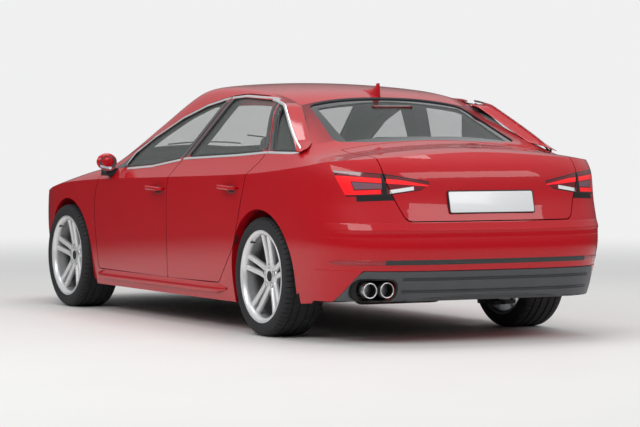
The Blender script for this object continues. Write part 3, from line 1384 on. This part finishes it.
def ledgeShape():
    # over the height the rise is smooth from the top down to a crisp crest, then falls in a short run
    v = np.array([0, 0.10, 0.25, 0.45, 0.65, 0.82, 0.93, 0.98, 1.0, 1.03, 1.10, 1.25, 1.45, 1.7, 2.0, 2.25])
    z = ledge["top"] + (ledge["crest"] - ledge["top"]) * v
    lift = np.where(v <= 1, v ** 1.2, np.exp(-((v - 1) / 0.42) ** 1.5))
    lift = lift * (v > 0) * (v < 2.25)
    u = np.linspace(-1, 1, 161)
    fade = np.clip((1 - np.abs(u)) / 0.10, 0, 1) ** 0.5
    y = ledge["end"] * u[None, :] + 0 * z[:, None]
    z = z[:, None] + 0 * u[None, :]
    x = smoothTail(y, z) - 0.0006 - ledge["rise"] * lift[:, None] * fade[None, :]
    for edge in (x[0], x[-1], x[:, 0], x[:, -1]):
        edge += 0.003
    return gridShape(np.stack([x, y, z], -1))


sheetPiece("bumperCrease", ledgeShape(), (-1, 0, 0), paint, 0.002)


def slotShape():
    # a low pillow over the slot: edges turned in, both ends pointed
    v = np.linspace(-1, 1, 9)
    u = np.linspace(-1, 1, 181)
    halfHeight = (slot["high"] - slot["low"]) / 2 * np.clip((1 - np.abs(u)) / 0.03, 0, 1) ** 0.5
    z = (slot["high"] + slot["low"]) / 2 + v[:, None] * halfHeight[None, :] - 0.004 * np.abs(u)[None, :] ** 4
    y = slot["end"] * u[None, :] + 0 * z
    x = smoothTail(y, z) - slot["proud"]
    x = x + 0.003 * (np.abs(v)[:, None] > 0.99)
    return gridShape(np.stack([x, y, z], -1))


sheetPiece("rearMeshStrip", slotShape(), (-1, 0, 0), rearMesh)
print("tail pieces built")


# The silencer, drawn in at its outer end so that the bumper's corner covers it.
silencer = {"rear": -2.088, "front": -1.70, "outer": 0.690, "keep": 0.25}


def drawnSilencer():
    # beyond the plane y = outer each point keeps a quarter of its distance from that plane
    source = nodes["exhaust"].data
    points = np.empty(len(source.vertices) * 3)
    source.vertices.foreach_get("co", points)
    points = points.reshape(-1, 3)
    x, y = points[:, 0], points[:, 1]
    inside = (x > silencer["rear"]) & (x < silencer["front"]) & (y > silencer["outer"])
    points[inside, 1] = silencer["outer"] + (points[inside, 1] - silencer["outer"]) * silencer["keep"]
    return points, [list(polygon.vertices) for polygon in source.polygons]


exhaust = newPiece("exhaustLine", drawnSilencer(), pipeSteel, "car_body")
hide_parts("exhaust")


# Sill blades along the foot of the flanks, pointed at both ends.
sill = {"front": 1.020, "rear": -0.870, "top": 0.268, "edge": 0.240, "foot": 0.212, "reach": 0.012}


def sillShape(sign):
    # a six-cornered section swept along X; its reach grows in a straight line from both pointed ends
    t = np.linspace(0, 1, 90)
    x = sill["rear"] + (sill["front"] - sill["rear"]) * t
    grow = np.clip(np.minimum(t / 0.06, (1 - t) / 0.05), 0.02, 1)
    flank = skinAtFoot(x)
    reach, edge, top, foot = sill["reach"], sill["edge"], sill["top"], sill["foot"]
    section = np.array([
        (-0.020, top), (-0.004, top - 0.003), (reach, edge + 0.003), (reach + 0.001, edge),
        (reach - 0.003, foot), (-0.030, foot - 0.016),
    ])
    out = flank[:, None] + np.where(section[:, 0] > 0, section[:, 0] * grow[:, None], section[:, 0])
    z = edge + (section[None, :, 1] - edge) * (0.25 + 0.75 * grow[:, None])
    points = np.stack([x[:, None] + 0 * z, sign * out, z], -1)
    return gridShape(points, wrapColumns=True, capRows=True)


def skinAtFoot(x):
    # the flank at the height of the sill's edge, from the doors and the side frame
    spots = np.stack([x, np.full(len(x), 0.290)], 1)
    reach = surfaceAt(sideNodes("left"), spots, 1, 1)
    good = (reach > 0.8) & (reach < 1.0)
    return np.polyval(np.polyfit(x[good], reach[good], 4), x)


for side, sign in sides.items():
    newPiece("sillBlade_" + side, sillShape(sign), paint, "car_body")


# Antenna fin on the roof: a blade that leans back over a rounded foot.
fin = {"foot": (-1.080, -0.840), "tip": (-1.072, -1.035), "height": 0.078, "half": 0.017}


def finShape():
    # rows from foot to tip, over the height h: half the width is half*(1 - 0.8 h^0.8)
    h = np.array([-0.15, 0.0, 0.08, 0.25, 0.5, 0.75, 0.92, 1.0])
    turn = np.linspace(0, 2 * np.pi, 28, endpoint=False)
    along = [-0.96, -1.05, -0.85]
    roof = surfaceAt(["roof_panel"], np.array([(x, 0.0) for x in along]), 2, 1)
    base = np.polyfit(along, roof, 1)
    shape = np.clip(h, 0, 1)
    rear = fin["foot"][0] + (fin["tip"][0] - fin["foot"][0]) * shape
    front = fin["foot"][1] + (fin["tip"][1] - fin["foot"][1]) * (1 - (1 - shape) ** 1.8)
    half = fin["half"] * (1 - 0.80 * shape ** 0.8)
    x = (rear + front)[:, None] / 2 + (front - rear)[:, None] / 2 * np.cos(turn)[None, :]
    taper = 1 - 0.45 * np.clip(np.cos(turn), 0, 1)[None, :]
    y = half[:, None] * np.sin(turn)[None, :] * taper
    lean = np.polyval(base, x) * (1 - shape[:, None]) + shape[:, None] * (np.polyval(base, fin["tip"][0]))
    z = lean + fin["height"] * h[:, None]
    return gridShape(np.stack([x, y, z], -1), wrapColumns=True, capRows=True)


newPiece("antennaFin", finShape(), paint, "car_body")


# Door handles: a bowed bar over a shaded cup.
handle = {
    "length": 0.190, "half": 0.0125, "proud": 0.036, "thick": 0.014, "cup": 0.060,
    "places": {"front": (0.476, 0.557), "rear": (0.120, 0.573)},
}


def handleBar(side, sign, place):
    t = np.linspace(0, 1, 40)
    x = place[0] - handle["length"] / 2 + handle["length"] * t
    spots = np.stack([x, np.full(len(x), place[1])], 1)
    skin = skinUnder(side, spots)
    arch = np.clip(np.minimum(t, 1 - t) / 0.14, 0, 1)
    arch = arch * arch * (3 - 2 * arch)
    out = skin + (handle["proud"] - handle["thick"]) * arch - 0.004 * (1 - arch)
    turn = np.linspace(0, 2 * np.pi, 14, endpoint=False)
    swell = 0.75 + 0.25 * arch[:, None]
    z = place[1] + 0.006 * (t[:, None] - 0.5) + handle["half"] * np.sin(turn)[None, :] * swell
    y = out[:, None] + handle["thick"] / 2 * (1 + np.cos(turn)[None, :])
    return gridShape(np.stack([x[:, None] + 0 * z, sign * y, z], -1), wrapColumns=True, capRows=True)


def handleCup(side, sign, place):
    # a shallow half moon under the bar, darker than the door because it is hollow
    r = np.linspace(0.02, 1, 8)
    turn = np.linspace(0, 2 * np.pi, 40, endpoint=False)
    x = place[0] - 0.012 + handle["cup"] * r[:, None] * np.cos(turn)[None, :]
    z = place[1] - 0.010 + 0.026 * r[:, None] * np.sin(turn)[None, :]
    skin = skinUnder(side, np.stack([x.ravel(), z.ravel()], 1)).reshape(x.shape)
    y = skin + 0.0008 - 0.0022 * (r[:, None] > 0.99)
    return gridShape(np.stack([x, sign * y, z], -1)[::-1], wrapColumns=True, capRows=False)


for end, share in handle["places"].items():
    place = sidePlaces([share])[0]
    for side, sign in sides.items():
        label, body = end + "_" + side, end + "_door_" + side + "_assembly"
        newPiece("handleBar_" + label, handleBar(side, sign, place), paint, body)
        cup = handleCup(side, sign, place)
        sheetPiece("handleCup_" + label, cup, (0, sign, 0), cupShade, body=body)
print("sills, fin and handles built")


# Rear pillar: a red panel from the bright strip round to the slope beside the rear window.
pillar = {"low": 1.0225, "high": 1.2920, "reach": 0.105, "proud": 0.0012}


def slopeTerms(y, z):
    return np.stack([np.ones(y.shape), y ** 2, z, z ** 2, y ** 2 * z], -1)


def slopeBeside(y, z):
    # the slope beside the rear window as a smooth surface in |y| and z, fitted to the body's own
    ys, zs = np.meshgrid(np.linspace(0.40, 0.72, 16), np.linspace(1.07, 1.27, 14))
    spots = np.stack([ys.ravel(), zs.ravel()], 1)
    reach = surfaceAt(["side_frame_left", "side_frame_right", "rear_window", "roof_panel"], spots, 0, -1)
    table = slopeTerms(ys.ravel(), zs.ravel())
    keep = (reach < -0.9) & (reach > -1.8)
    for limit in (0.08, 0.03, 0.012):
        fit = np.linalg.lstsq(table[keep], reach[keep], rcond=None)[0]
        keep = np.abs(reach - table @ fit) < limit
    return slopeTerms(np.abs(y), z) @ fit


def pillarPanel(sign):
    # each level is a curve (1-t)^2 a + 2t(1-t) corner + t^2 b from the strip to the slope
    z = np.linspace(pillar["low"], pillar["high"], 34)
    startX = np.interp(z, [1.0217, 1.2743, 1.2986], [-1.6416, -1.2016, -1.0776]) - 0.010
    startY = skinY(startX, z)
    endY = startY - pillar["reach"]
    endX = slopeBeside(endY, z) - pillar["proud"]
    cornerX = np.minimum(slopeBeside(startY, z), startX - 0.003)
    # towards its foot the panel narrows so that it runs out on the shoulder
    reach = 0.012 + 1.9 * (z - pillar["low"])
    endX = np.minimum(np.maximum(endX, startX - reach), cornerX)
    cornerX = np.maximum(cornerX, startX - reach)
    endY = np.maximum(endY, startY - reach)
    t = np.linspace(0, 1, 18)[None, :]
    x, y = [
        (1 - t) ** 2 * start[:, None] + 2 * t * (1 - t) * corner[:, None] + t ** 2 * end[:, None]
        for start, corner, end in ((startX, cornerX, endX), (startY, startY - 0.004, endY))
    ]
    return gridShape(np.stack([x, sign * y, z[:, None] + 0 * t], -1))


for side, sign in sides.items():
    sheetPiece("pillarPanel_" + side, pillarPanel(sign), (-1, sign, 0), paint, 0.003)
print("rear pillars closed")


# Seats: moulded bases and cloth-covered pads, each pad filled by a cloth simulation of its own.
seat = {
    "backX": -0.1526,
    "middleY": 0.370,
    "width": 0.500,
    "foot": 0.194,
    "height": 0.330,
    "padHeight": 0.130,
    "padLength": 0.500,
    "backThick": 0.130,
    "backLow": 0.382,
    "backHigh": 1.022,
    "restHigh": 1.192,
    "restWidth": 0.260,
    "leanDeg": -22.0,
    "shrink": 0.014,
    "bolster": 0.030,
    "grooveDepth": 0.009,
    "grooveHalf": 0.007,
    "frames": 20,
    "pressure": 4.0,
}


def filledPad(name, low, high, voxel, cap, restAxis, crown=None):
    # the start shape is a box a little too small; pressure swells its cover like foam under fabric;
    # no point moves further than cap, and the low side along restAxis, which rests on something,
    # hardly moves
    low = np.asarray(low, float) + seat["shrink"]
    high = np.asarray(high, float) - seat["shrink"]
    vertices, faces = roundedBox(low, high, 0.028, steps=4)
    mesh = bpy.data.meshes.new(name)
    mesh.from_pydata(vertices.tolist(), [], faces)
    turnOutward(mesh)
    pad = bpy.data.objects.new(name, mesh)
    bpy.context.scene.collection.objects.link(pad)
    voxels = pad.modifiers.new("voxels", "REMESH")
    voxels.mode = "VOXEL"
    voxels.voxel_size = voxel
    dense = bpy.data.meshes.new_from_object(pad.evaluated_get(bpy.context.evaluated_depsgraph_get()))
    pad.modifiers.clear()
    pad.data = dense
    start = np.empty(len(dense.vertices) * 3)
    dense.vertices.foreach_get("co", start)
    start = start.reshape(-1, 3)
    if crown:
        start = crown(start)
        dense.vertices.foreach_set("co", start.ravel())
        dense.update()
    ends = start.copy()
    cloth = pad.modifiers.new("filling", "CLOTH")
    cloth.settings.use_pressure = True
    cloth.settings.uniform_pressure_force = seat["pressure"]
    cloth.settings.effector_weights.gravity = 0
    cloth.settings.quality = 5
    cloth.point_cache.frame_start = 1
    cloth.point_cache.frame_end = seat["frames"]
    for frame in range(1, seat["frames"] + 1):
        bpy.context.scene.frame_set(frame)
    soft = bpy.data.meshes.new_from_object(pad.evaluated_get(bpy.context.evaluated_depsgraph_get()))
    soft.vertices.foreach_get("co", ends.reshape(-1))
    bpy.context.scene.frame_set(1)
    step = ends - start
    length = np.linalg.norm(step, axis=1, keepdims=True)
    step *= np.minimum(1, cap / np.maximum(length, 1e-9))
    # the resting side keeps a twentieth of its swelling, growing to all of it over 30 mm
    depth = start[:, restAxis] - low[restAxis]
    step *= np.clip(0.05 + depth / 0.030, 0.05, 1)[:, None]
    faces = [list(polygon.vertices) for polygon in dense.polygons]
    bpy.data.objects.remove(pad)
    return start + step, faces


def bolstered(axis, half):
    # sides raised by bolster*smooth step over the outer third, so that a body sits between them
    def crown(points):
        share = np.clip((np.abs(points[:, 1]) / half - 0.62) / 0.26, 0, 1)
        rise = share * share * (3 - 2 * share)
        face = points[:, axis]
        reach = np.clip((face - face.min()) / (face.max() - face.min()), 0, 1)
        moved = points.copy()
        moved[:, axis] += seat["bolster"] * (rise - 0.35) * reach
        return moved
    return crown


def sewn(points, across, places, axis):
    # sewn channels: depth*exp(-(distance/half)^2) sinks the upper side along axis
    middle = (points[:, axis].max() + points[:, axis].min()) / 2
    sunk = np.zeros(len(points))
    for place in places:
        sunk = np.maximum(sunk, np.exp(-(((points[:, across] - place) / seat["grooveHalf"]) ** 2)))
    moved = points.copy()
    moved[:, axis] -= seat["grooveDepth"] * sunk * (points[:, axis] - middle > 0)
    return moved


def leaned(points):
    # turned about the foot of the back by the lean
    a = math.radians(seat["leanDeg"])
    x, z = points[:, 0] - seat["backX"], points[:, 2] - seat["height"]
    moved = points.copy()
    moved[:, 0] = seat["backX"] + x * math.cos(a) + z * math.sin(a)
    moved[:, 2] = seat["height"] - x * math.sin(a) + z * math.cos(a)
    return moved


def padPiece(name, shape, node=None):
    piece = newPiece(name, shape, fabric, "car_body", outward=False)
    finer = piece.modifiers.new("finer", "SUBSURF")
    finer.levels = 1
    finer.render_levels = 1
    if node:
        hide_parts(node)
    return piece


half = seat["width"] / 2
x0 = seat["backX"]
top = seat["height"] + seat["padHeight"]
channels = (-0.150, -0.050, 0.050, 0.150)
seatPad, padFaces = filledPad(
    "seatPad", (x0 + 0.004, -half, seat["height"]), (x0 + seat["padLength"], half, top), 0.009, 0.024, 2,
    bolstered(2, half),
)
seatPad[:, 2] = np.minimum(seatPad[:, 2], top + 0.018)
seatPad = sewn(seatPad, 1, channels, 2)
seatPad = sewn(seatPad, 0, (x0 + 0.33,), 2)
backPad, backFaces = filledPad(
    "backPad", (x0 - seat["backThick"], -half, seat["backLow"]), (x0, half, seat["backHigh"]), 0.009, 0.024,
    0, bolstered(0, half),
)
backPad = sewn(backPad, 1, channels, 0)
backPad = sewn(backPad, 2, (seat["backHigh"] - 0.16,), 0)
restPad, restFaces = filledPad(
    "restPad", (x0 - 0.110, -seat["restWidth"] / 2, seat["backHigh"] + 0.022),
    (x0 - 0.008, seat["restWidth"] / 2, seat["restHigh"]), 0.006, 0.022, 0,
)
backPad = leaned(backPad)
restPad = leaned(restPad)
print("front seat pads filled")

# Head restraint posts: polished steel rods, and the moulded base each seat stands on.
for side, sign in sides.items():
    shift = np.array([0, sign * seat["middleY"], 0])
    for name, points, faces in (
        ("seatPad_", seatPad, padFaces), ("backPad_", backPad, backFaces), ("headPad_", restPad, restFaces),
    ):
        padPiece(name + side, (points + shift, faces), "front_seats")
    posts = []
    for offset in (-0.055, 0.055):
        path = np.array([(x0 - 0.060, offset, seat["backHigh"] + rise) for rise in (-0.05, 0.06)])
        posts.append(tube(leaned(path) + shift, 0.007, 12))
    newPiece("headRestPosts_" + side, joinedShapes(posts), pipeSteel, "car_body")
    base = roundedBox((x0, -0.190, seat["foot"]), (x0 + 0.45, 0.190, seat["height"] + 0.012), 0.012)
    low = (x0 - seat["backThick"] - 0.004, -half + 0.02, seat["backLow"] + 0.01)
    shell = roundedBox(low, (x0 - 0.07, half - 0.02, seat["backHigh"] - 0.02), 0.012)
    frameShape = joinedShapes([base, (leaned(shell[0]), shell[1])])
    newPiece(
        "seatBase_" + side, (frameShape[0] + shift, frameShape[1]), dashPlastic, "car_body",
    )

# Rear bench: one seat pad and one leaning back across the car, with three head restraints.
bench = {
    "rear": -1.052,
    "front": -0.466,
    "half": 0.606,
    "seatTop": 0.460,
    "foot": 0.194,
    "backTop": 0.940,
    "backFootX": -0.8435,
    "backTopX": -0.9845,
    "restY": (-0.370, 0.0, 0.370),
}
benchChannels = (-0.46, -0.28, -0.15, 0.15, 0.28, 0.46)
benchPad, benchFaces = filledPad(
    "benchPad", (bench["backFootX"] - 0.07, -bench["half"], 0.300),
    (bench["front"], bench["half"], bench["seatTop"] + 0.006), 0.010, 0.024, 2,
)
benchPad = sewn(benchPad, 1, benchChannels, 2)
benchPad = sewn(benchPad, 0, (bench["front"] - 0.12,), 2)
rearPad, rearFaces = filledPad(
    "rearPad", (-0.110, -bench["half"], 0.0), (0.0, bench["half"], 0.540), 0.010, 0.024, 0,
)
rearPad = sewn(rearPad, 1, benchChannels, 0)
rearPad = sewn(rearPad, 2, (0.40,), 0)


def leanedBench(points):
    # x runs back by the slope of the bench's own face as z rises from its foot
    slope = (bench["backTopX"] - bench["backFootX"]) / (bench["backTop"] - 0.447)
    moved = points.copy()
    moved[:, 2] += 0.400
    moved[:, 0] += bench["backFootX"] + 0.022 + slope * (moved[:, 2] - 0.447)
    return moved


rearPad = leanedBench(rearPad)
padPiece("benchPad", (benchPad, benchFaces), "rear_bench")
padPiece("benchBackPad", (rearPad, rearFaces), "rear_bench")
rearRest, rearRestFaces = filledPad("rearRest", (-0.045, -0.125, 0.0), (0.050, 0.125, 0.150), 0.006, 0.020, 0)
for index, y in enumerate(bench["restY"]):
    shift = np.array([bench["backTopX"] - 0.052, y, bench["backTop"] + 0.004])
    padPiece("rearHeadPad%d" % (index + 1), (rearRest + shift, rearRestFaces))
    posts = []
    for offset in (-0.05, 0.05):
        path = np.array([(0.0, offset, -0.06), (0.0, offset, 0.04)]) + shift
        posts.append(tube(path, 0.006, 10))
    newPiece("rearHeadPosts%d" % (index + 1), joinedShapes(posts), pipeSteel, "car_body")
low = (bench["rear"] + 0.004, -bench["half"] + 0.02, bench["foot"])
benchBase = roundedBox(low, (bench["front"] - 0.03, bench["half"] - 0.02, 0.318), 0.012)
newPiece("benchBase", benchBase, dashPlastic, "car_body")
print("rear bench filled")


# Camera at the photograph's angle.
photo = {
    "widthPx": 640,
    "focalPx": 2600.0,
    "place": (-14.2, 7.25, 1.13),
    "yawDeg": -27.6,
    "pitchDeg": -1.8,
    "sensor": 36.0,
}


def makeCamera():
    data = bpy.data.cameras.new("camera")
    camera = bpy.data.objects.new("camera", data)
    bpy.context.scene.collection.objects.link(camera)
    data.sensor_width = photo["sensor"]
    data.lens = photo["focalPx"] * photo["sensor"] / photo["widthPx"]
    yaw = math.radians(photo["yawDeg"])
    pitch = math.radians(photo["pitchDeg"])
    ahead = Vector((math.cos(yaw) * math.cos(pitch), math.sin(yaw) * math.cos(pitch), math.sin(pitch)))
    camera.location = photo["place"]
    camera.rotation_euler = ahead.to_track_quat("-Z", "Y").to_euler()
    data.clip_end = 300
    bpy.context.scene.camera = camera


makeCamera()

studio = {
    "floorHalf": 60.0,
    "floor": "#E4E3E1",
    "backdrop": "#F0F0F1",
    "fadeStart": 3.5,
    "fadeEnd": 13.0,
    "dimStart": 2.6,
    "dimEnd": 6.0,
    "hall": "#3A3838",
    "sky": "#F1F3F5",
    "ground": "#5A5857",
    "skyStrength": 0.62,
    "lamps": [
        # place, size, power in watts, colour
        ((-4.0, 7.0, 6.0), (7.0, 3.0), 330.0, "#FFFFFF"),
        ((-8.0, -3.0, 5.5), (6.0, 3.0), 210.0, "#FFFFFF"),
        ((0.5, 0.0, 7.5), (6.0, 3.5), 260.0, "#FFFFFF"),
    ],
}


def mixedShader(tree, share, first, second):
    return addNode(tree, "ShaderNodeMixShader", None, {0: share, 1: first, 2: second}).outputs[0]


def makeStudio():
    # a pale matt floor that keeps the car's shadow, under soft boxes and an even sky
    mesh = bpy.data.meshes.new("studioFloor")
    half = studio["floorHalf"]
    mesh.from_pydata(
        [(-half, -half, 0), (half, -half, 0), (half, half, 0), (-half, half, 0)], [], [(0, 1, 2, 3)],
    )
    floor = bpy.data.objects.new("studioFloor", mesh)
    bpy.context.scene.collection.objects.link(floor)
    material, tree, shader = newMaterial("paintedStudioFloor", {"Roughness": 0.55})
    floorShade = painted(tree, studio["floor"], "#DEDDDB", speckled(tree, spotOn(tree), 0.8, 3))
    tree.links.new(floorShade, shader.inputs["Base Color"])
    # from fadeStart out the camera sees the floor turn into the pale backdrop, and from dimStart out the
    # car's clearcoat mirrors a dim hall in its place, so that the sides keep a deep red
    distance = addNode(
        tree, "ShaderNodeVectorMath", {"operation": "LENGTH"}, {0: spotOn(tree)},
    ).outputs["Value"]
    surface = shader.outputs[0]
    for ray, colour, start, end in (("Is Camera Ray", "backdrop", "fadeStart", "fadeEnd"),
                                    ("Is Glossy Ray", "hall", "dimStart", "dimEnd")):
        far = ramp(tree, distance, studio[start], studio[end])
        seen = addNode(tree, "ShaderNodeLightPath").outputs[ray]
        glow = addNode(tree, "ShaderNodeEmission", None, {"Color": fromHex(studio[colour]), "Strength": 1.0})
        surface = mixedShader(tree, both(tree, far, seen), surface, glow.outputs[0])
    tree.links.new(surface, tree.nodes["Material Output"].inputs["Surface"])
    mesh.materials.append(material)
    for index, (place, size, power, colour) in enumerate(studio["lamps"]):
        data = bpy.data.lights.new("softBox%d" % (index + 1), "AREA")
        data.shape = "RECTANGLE"
        data.size, data.size_y = size
        data.energy = power
        data.color = fromHex(colour)[:3]
        lamp = bpy.data.objects.new(data.name, data)
        lamp.location = place
        lamp.rotation_euler = (-Vector(place) + Vector((0, 0, 0.6))).to_track_quat("-Z", "Y").to_euler()
        bpy.context.scene.collection.objects.link(lamp)
    world = bpy.data.worlds.new("studioSky")
    bpy.context.scene.world = world
    world.use_nodes = True
    tree = world.node_tree
    # light from the sky: pale above, dimmer towards and under the horizon
    rise = ramp(tree, partsOf(tree, spotOn(tree, "Generated"))["Z"], -0.05, 0.45)
    light = tree.nodes["Background"]
    tree.links.new(painted(tree, studio["ground"], studio["sky"], rise), light.inputs["Color"])
    light.inputs["Strength"].default_value = studio["skyStrength"]
    seen = addNode(tree, "ShaderNodeBackground", None, {
        "Color": fromHex(studio["backdrop"]), "Strength": 1.0,
    })
    ray = addNode(tree, "ShaderNodeLightPath").outputs["Is Camera Ray"]
    sky = mixedShader(tree, ray, light.outputs[0], seen.outputs[0])
    tree.links.new(sky, tree.nodes["World Output"].inputs["Surface"])


makeStudio()
bpy.context.scene.view_settings.view_transform = "Standard"
print("scene ready")
